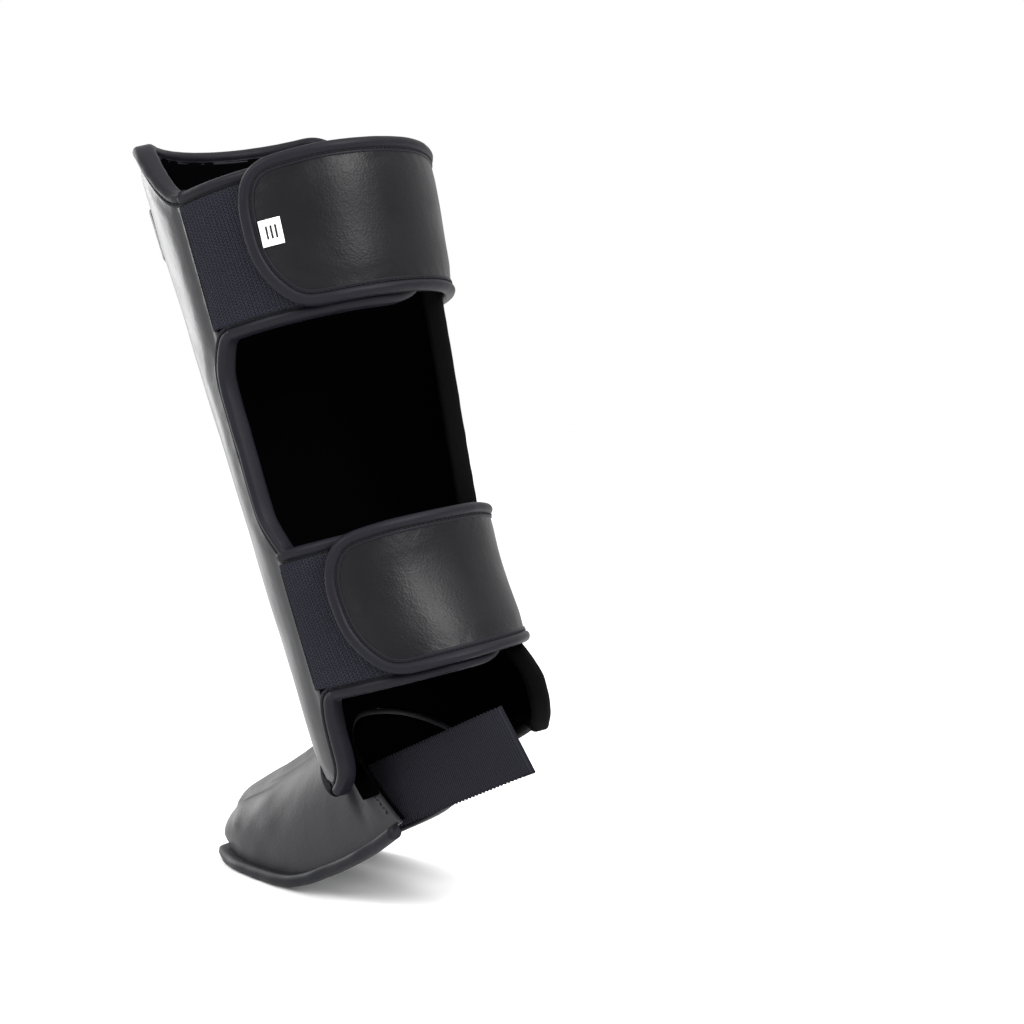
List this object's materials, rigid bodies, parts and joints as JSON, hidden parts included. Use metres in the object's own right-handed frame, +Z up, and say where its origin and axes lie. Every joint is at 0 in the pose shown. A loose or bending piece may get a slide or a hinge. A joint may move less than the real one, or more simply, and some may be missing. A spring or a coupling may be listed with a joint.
{
  "type": "shin and instep guard",
  "caption": "Padded shin-and-instep guard with calf wings, wide hook-and-loop straps, a hinged instep pad and an elastic heel loop.",
  "frame": {"origin": "middle of the whole guard's footprint, on the surface that the instep's rim rests on", "axes": "+Z up, toes towards -Y, calf side towards +Y, the wings and the straps' free ends towards +X; the shin axis leans forward by 12.8 degrees and sideways, towards +X, by 7.4 degrees"},
  "size_m": [0.1825, 0.2615, 0.4403],
  "materials": {
    "leather": "black synthetic leather, fine grain, satin",
    "binding": "charcoal synthetic leather edge binding, satin",
    "lining": "black brushed lining, matt",
    "foam": "closed-cell foam, matt",
    "loop": "black knitted loop fabric",
    "webbing": "black ribbed elastic webbing",
    "label": "white woven size tab"
  },
  "bodies": {
    "shin": {"shin_cover": "leather", "shin_foam_core": "foam", "shin_lining": "lining", "shin_top_binding": "binding", "shin_bottom_binding": "binding", "shin_near_binding_middle": "binding", "shin_near_binding_lower": "binding", "shin_far_binding": "binding", "front_raised_patch": "leather", "upper_strap_anchor": "leather", "lower_strap_anchor": "leather", "ankle_hinge_strip": "webbing"},
    "upper_wing": {"upper_wing_panel": "lining", "upper_loop_patch": "loop", "upper_wing_binding": "binding"},
    "lower_wing": {"lower_wing_panel": "lining", "lower_loop_patch": "loop", "lower_wing_binding": "binding"},
    "upper_strap": {"upper_strap_panel": "leather", "upper_hook_patch": "loop", "upper_strap_binding": "binding", "size_label": "label"},
    "lower_strap": {"lower_strap_panel": "leather", "lower_hook_patch": "loop", "lower_strap_binding": "binding"},
    "instep": {"instep_cover": "leather", "instep_foam_core": "foam", "instep_lining": "lining", "instep_ridge_pad": "leather", "instep_rim_binding": "binding"},
    "heel_loop": {"heel_elastic": "webbing"}
  },
  "joints": [
    {"name": "ankle_flex", "type": "hinge", "parent": "shin", "child": "instep", "pos_m": [-0.0217, 0.0149, 0.1197], "axis": [0.9917, 0, -0.1288], "range_deg": [0, 12]},
    {"name": "upper_strap_open", "type": "hinge", "parent": "shin", "child": "upper_strap", "pos_m": [-0.07177, -0.01846, 0.37519], "axis": [0.08, -0.2105, 0.9743], "range_deg": [0, 100]},
    {"name": "lower_strap_open", "type": "hinge", "parent": "shin", "child": "lower_strap", "pos_m": [-0.08791, 0.02496, 0.1786], "axis": [0.0797, -0.2361, 0.9685], "range_deg": [0, 100]},
    {"name": "upper_wing_flex", "type": "hinge", "parent": "shin", "child": "upper_wing", "pos_m": [0.08378, -0.02181, 0.35137], "axis": [0.1715, -0.2146, 0.9615], "range_deg": [-30, 0]},
    {"name": "lower_wing_flex", "type": "hinge", "parent": "shin", "child": "lower_wing", "pos_m": [0.04919, 0.02209, 0.15755], "axis": [0.171, -0.2327, 0.9574], "range_deg": [-30, 0]},
    {"name": "heel_loop_swing", "type": "hinge", "parent": "instep", "child": "heel_loop", "pos_m": [-0.029, 0.0322, 0.06346], "axis": [0.9917, 0, -0.1288], "range_deg": [-15, 0]}
  ],
  "couplings": [
    {"joint": "upper_wing_flex", "follows": "upper_strap_open", "ratio": -0.3},
    {"joint": "lower_wing_flex", "follows": "lower_strap_open", "ratio": -0.3}
  ]
}
